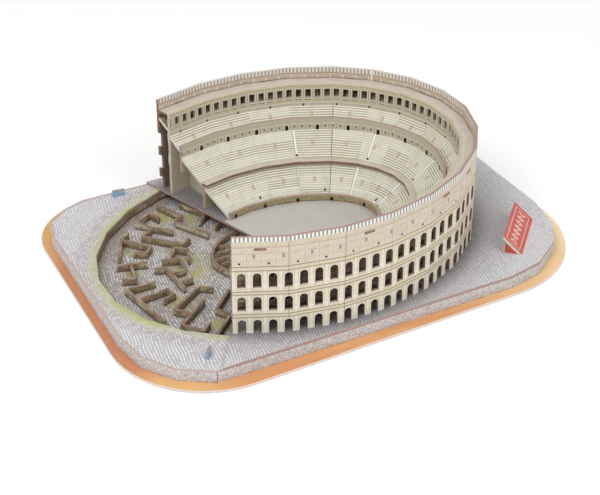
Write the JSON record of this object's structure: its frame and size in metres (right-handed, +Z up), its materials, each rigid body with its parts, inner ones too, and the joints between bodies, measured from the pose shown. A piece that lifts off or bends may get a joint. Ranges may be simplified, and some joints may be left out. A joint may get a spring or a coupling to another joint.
{
  "type": "miniature landmark model",
  "caption": "Miniature model of a ruined oval amphitheatre in printed foam board, with arcaded outer wall, seating tiers, a pit of low walls and an oblong display base.",
  "frame": {"origin": "centre of the underside of the base plate", "axes": "+Z up out of the base plate, +X along the long side of the base towards the closed end of the arena, -Y to the front where the short wedge plaque and the longest run of arcade face"},
  "size_m": [0.3632, 0.261, 0.0904],
  "materials": {
    "base_print": "satin printed paper on rigid foam board",
    "skirt_print": "satin printed paper on rigid foam board",
    "plaza_print": "satin printed paper on rigid foam board",
    "ruin_print": "satin printed paper on rigid foam board",
    "sign_print": "satin printed paper on rigid foam board",
    "facade_print": "satin printed paper on rigid foam board",
    "corridor_print": "satin printed paper on rigid foam board",
    "roof_print": "satin printed paper on rigid foam board",
    "seating_print": "satin printed paper on rigid foam board",
    "belt_print": "satin printed paper on rigid foam board",
    "ledge_print": "satin printed paper on rigid foam board",
    "podium_print": "satin printed paper on rigid foam board",
    "plaque_print": "satin printed paper on rigid foam board"
  },
  "bodies": {
    "tray": {"base_plate": "base_print", "basement_ring": "ruin_print", "basement_slats": "ruin_print", "pit_wall_back": "ruin_print", "pit_wall_front": "ruin_print", "rim_board": "plaza_print", "ruin_a": "ruin_print", "ruin_b": "ruin_print", "ruin_c": "ruin_print", "ruin_d": "ruin_print", "ruin_e": "ruin_print", "ruin_f": "ruin_print", "ruin_g": "ruin_print", "ruin_h": "ruin_print", "ruin_i": "ruin_print", "ruin_j": "ruin_print", "ruin_k": "ruin_print", "ruin_l": "ruin_print", "ruin_m": "ruin_print", "signs": "sign_print", "skirt_back": "skirt_print", "skirt_back_right": "skirt_print", "skirt_front": "skirt_print", "skirt_front_left": "skirt_print", "skirt_front_link": "skirt_print", "skirt_left": "skirt_print", "skirt_right": "skirt_print"},
    "arena_section": {"belt_wall_back": "belt_print", "belt_wall_front": "belt_print", "corridor_wall_back": "corridor_print", "corridor_wall_end": "corridor_print", "corridor_wall_front": "corridor_print", "cover_plate": "plaza_print", "gallery_roof_back": "roof_print", "gallery_roof_front": "roof_print", "gallery_stair_back": "roof_print", "gallery_stair_front": "roof_print", "ledge_back": "ledge_print", "ledge_front": "ledge_print", "ledge_wall_back": "ledge_print", "ledge_wall_front": "ledge_print", "lower_tier_back": "seating_print", "lower_tier_front": "seating_print", "middle_tier_back": "seating_print", "middle_tier_front": "seating_print", "outer_wall_back": "facade_print", "outer_wall_end": "facade_print", "outer_wall_front": "facade_print", "plaque_back": "plaque_print", "plaque_ends": "plaque_print", "plaque_face": "plaque_print", "podium_back": "podium_print", "podium_front": "podium_print", "ribs": "ledge_print", "upper_tier_back": "seating_print", "upper_tier_front": "seating_print"}
  },
  "joints": [
    {"name": "arena_lift", "type": "slide", "parent": "tray", "child": "arena_section", "axis": [0, 0, 1], "range_m": [0, 0.06]}
  ]
}
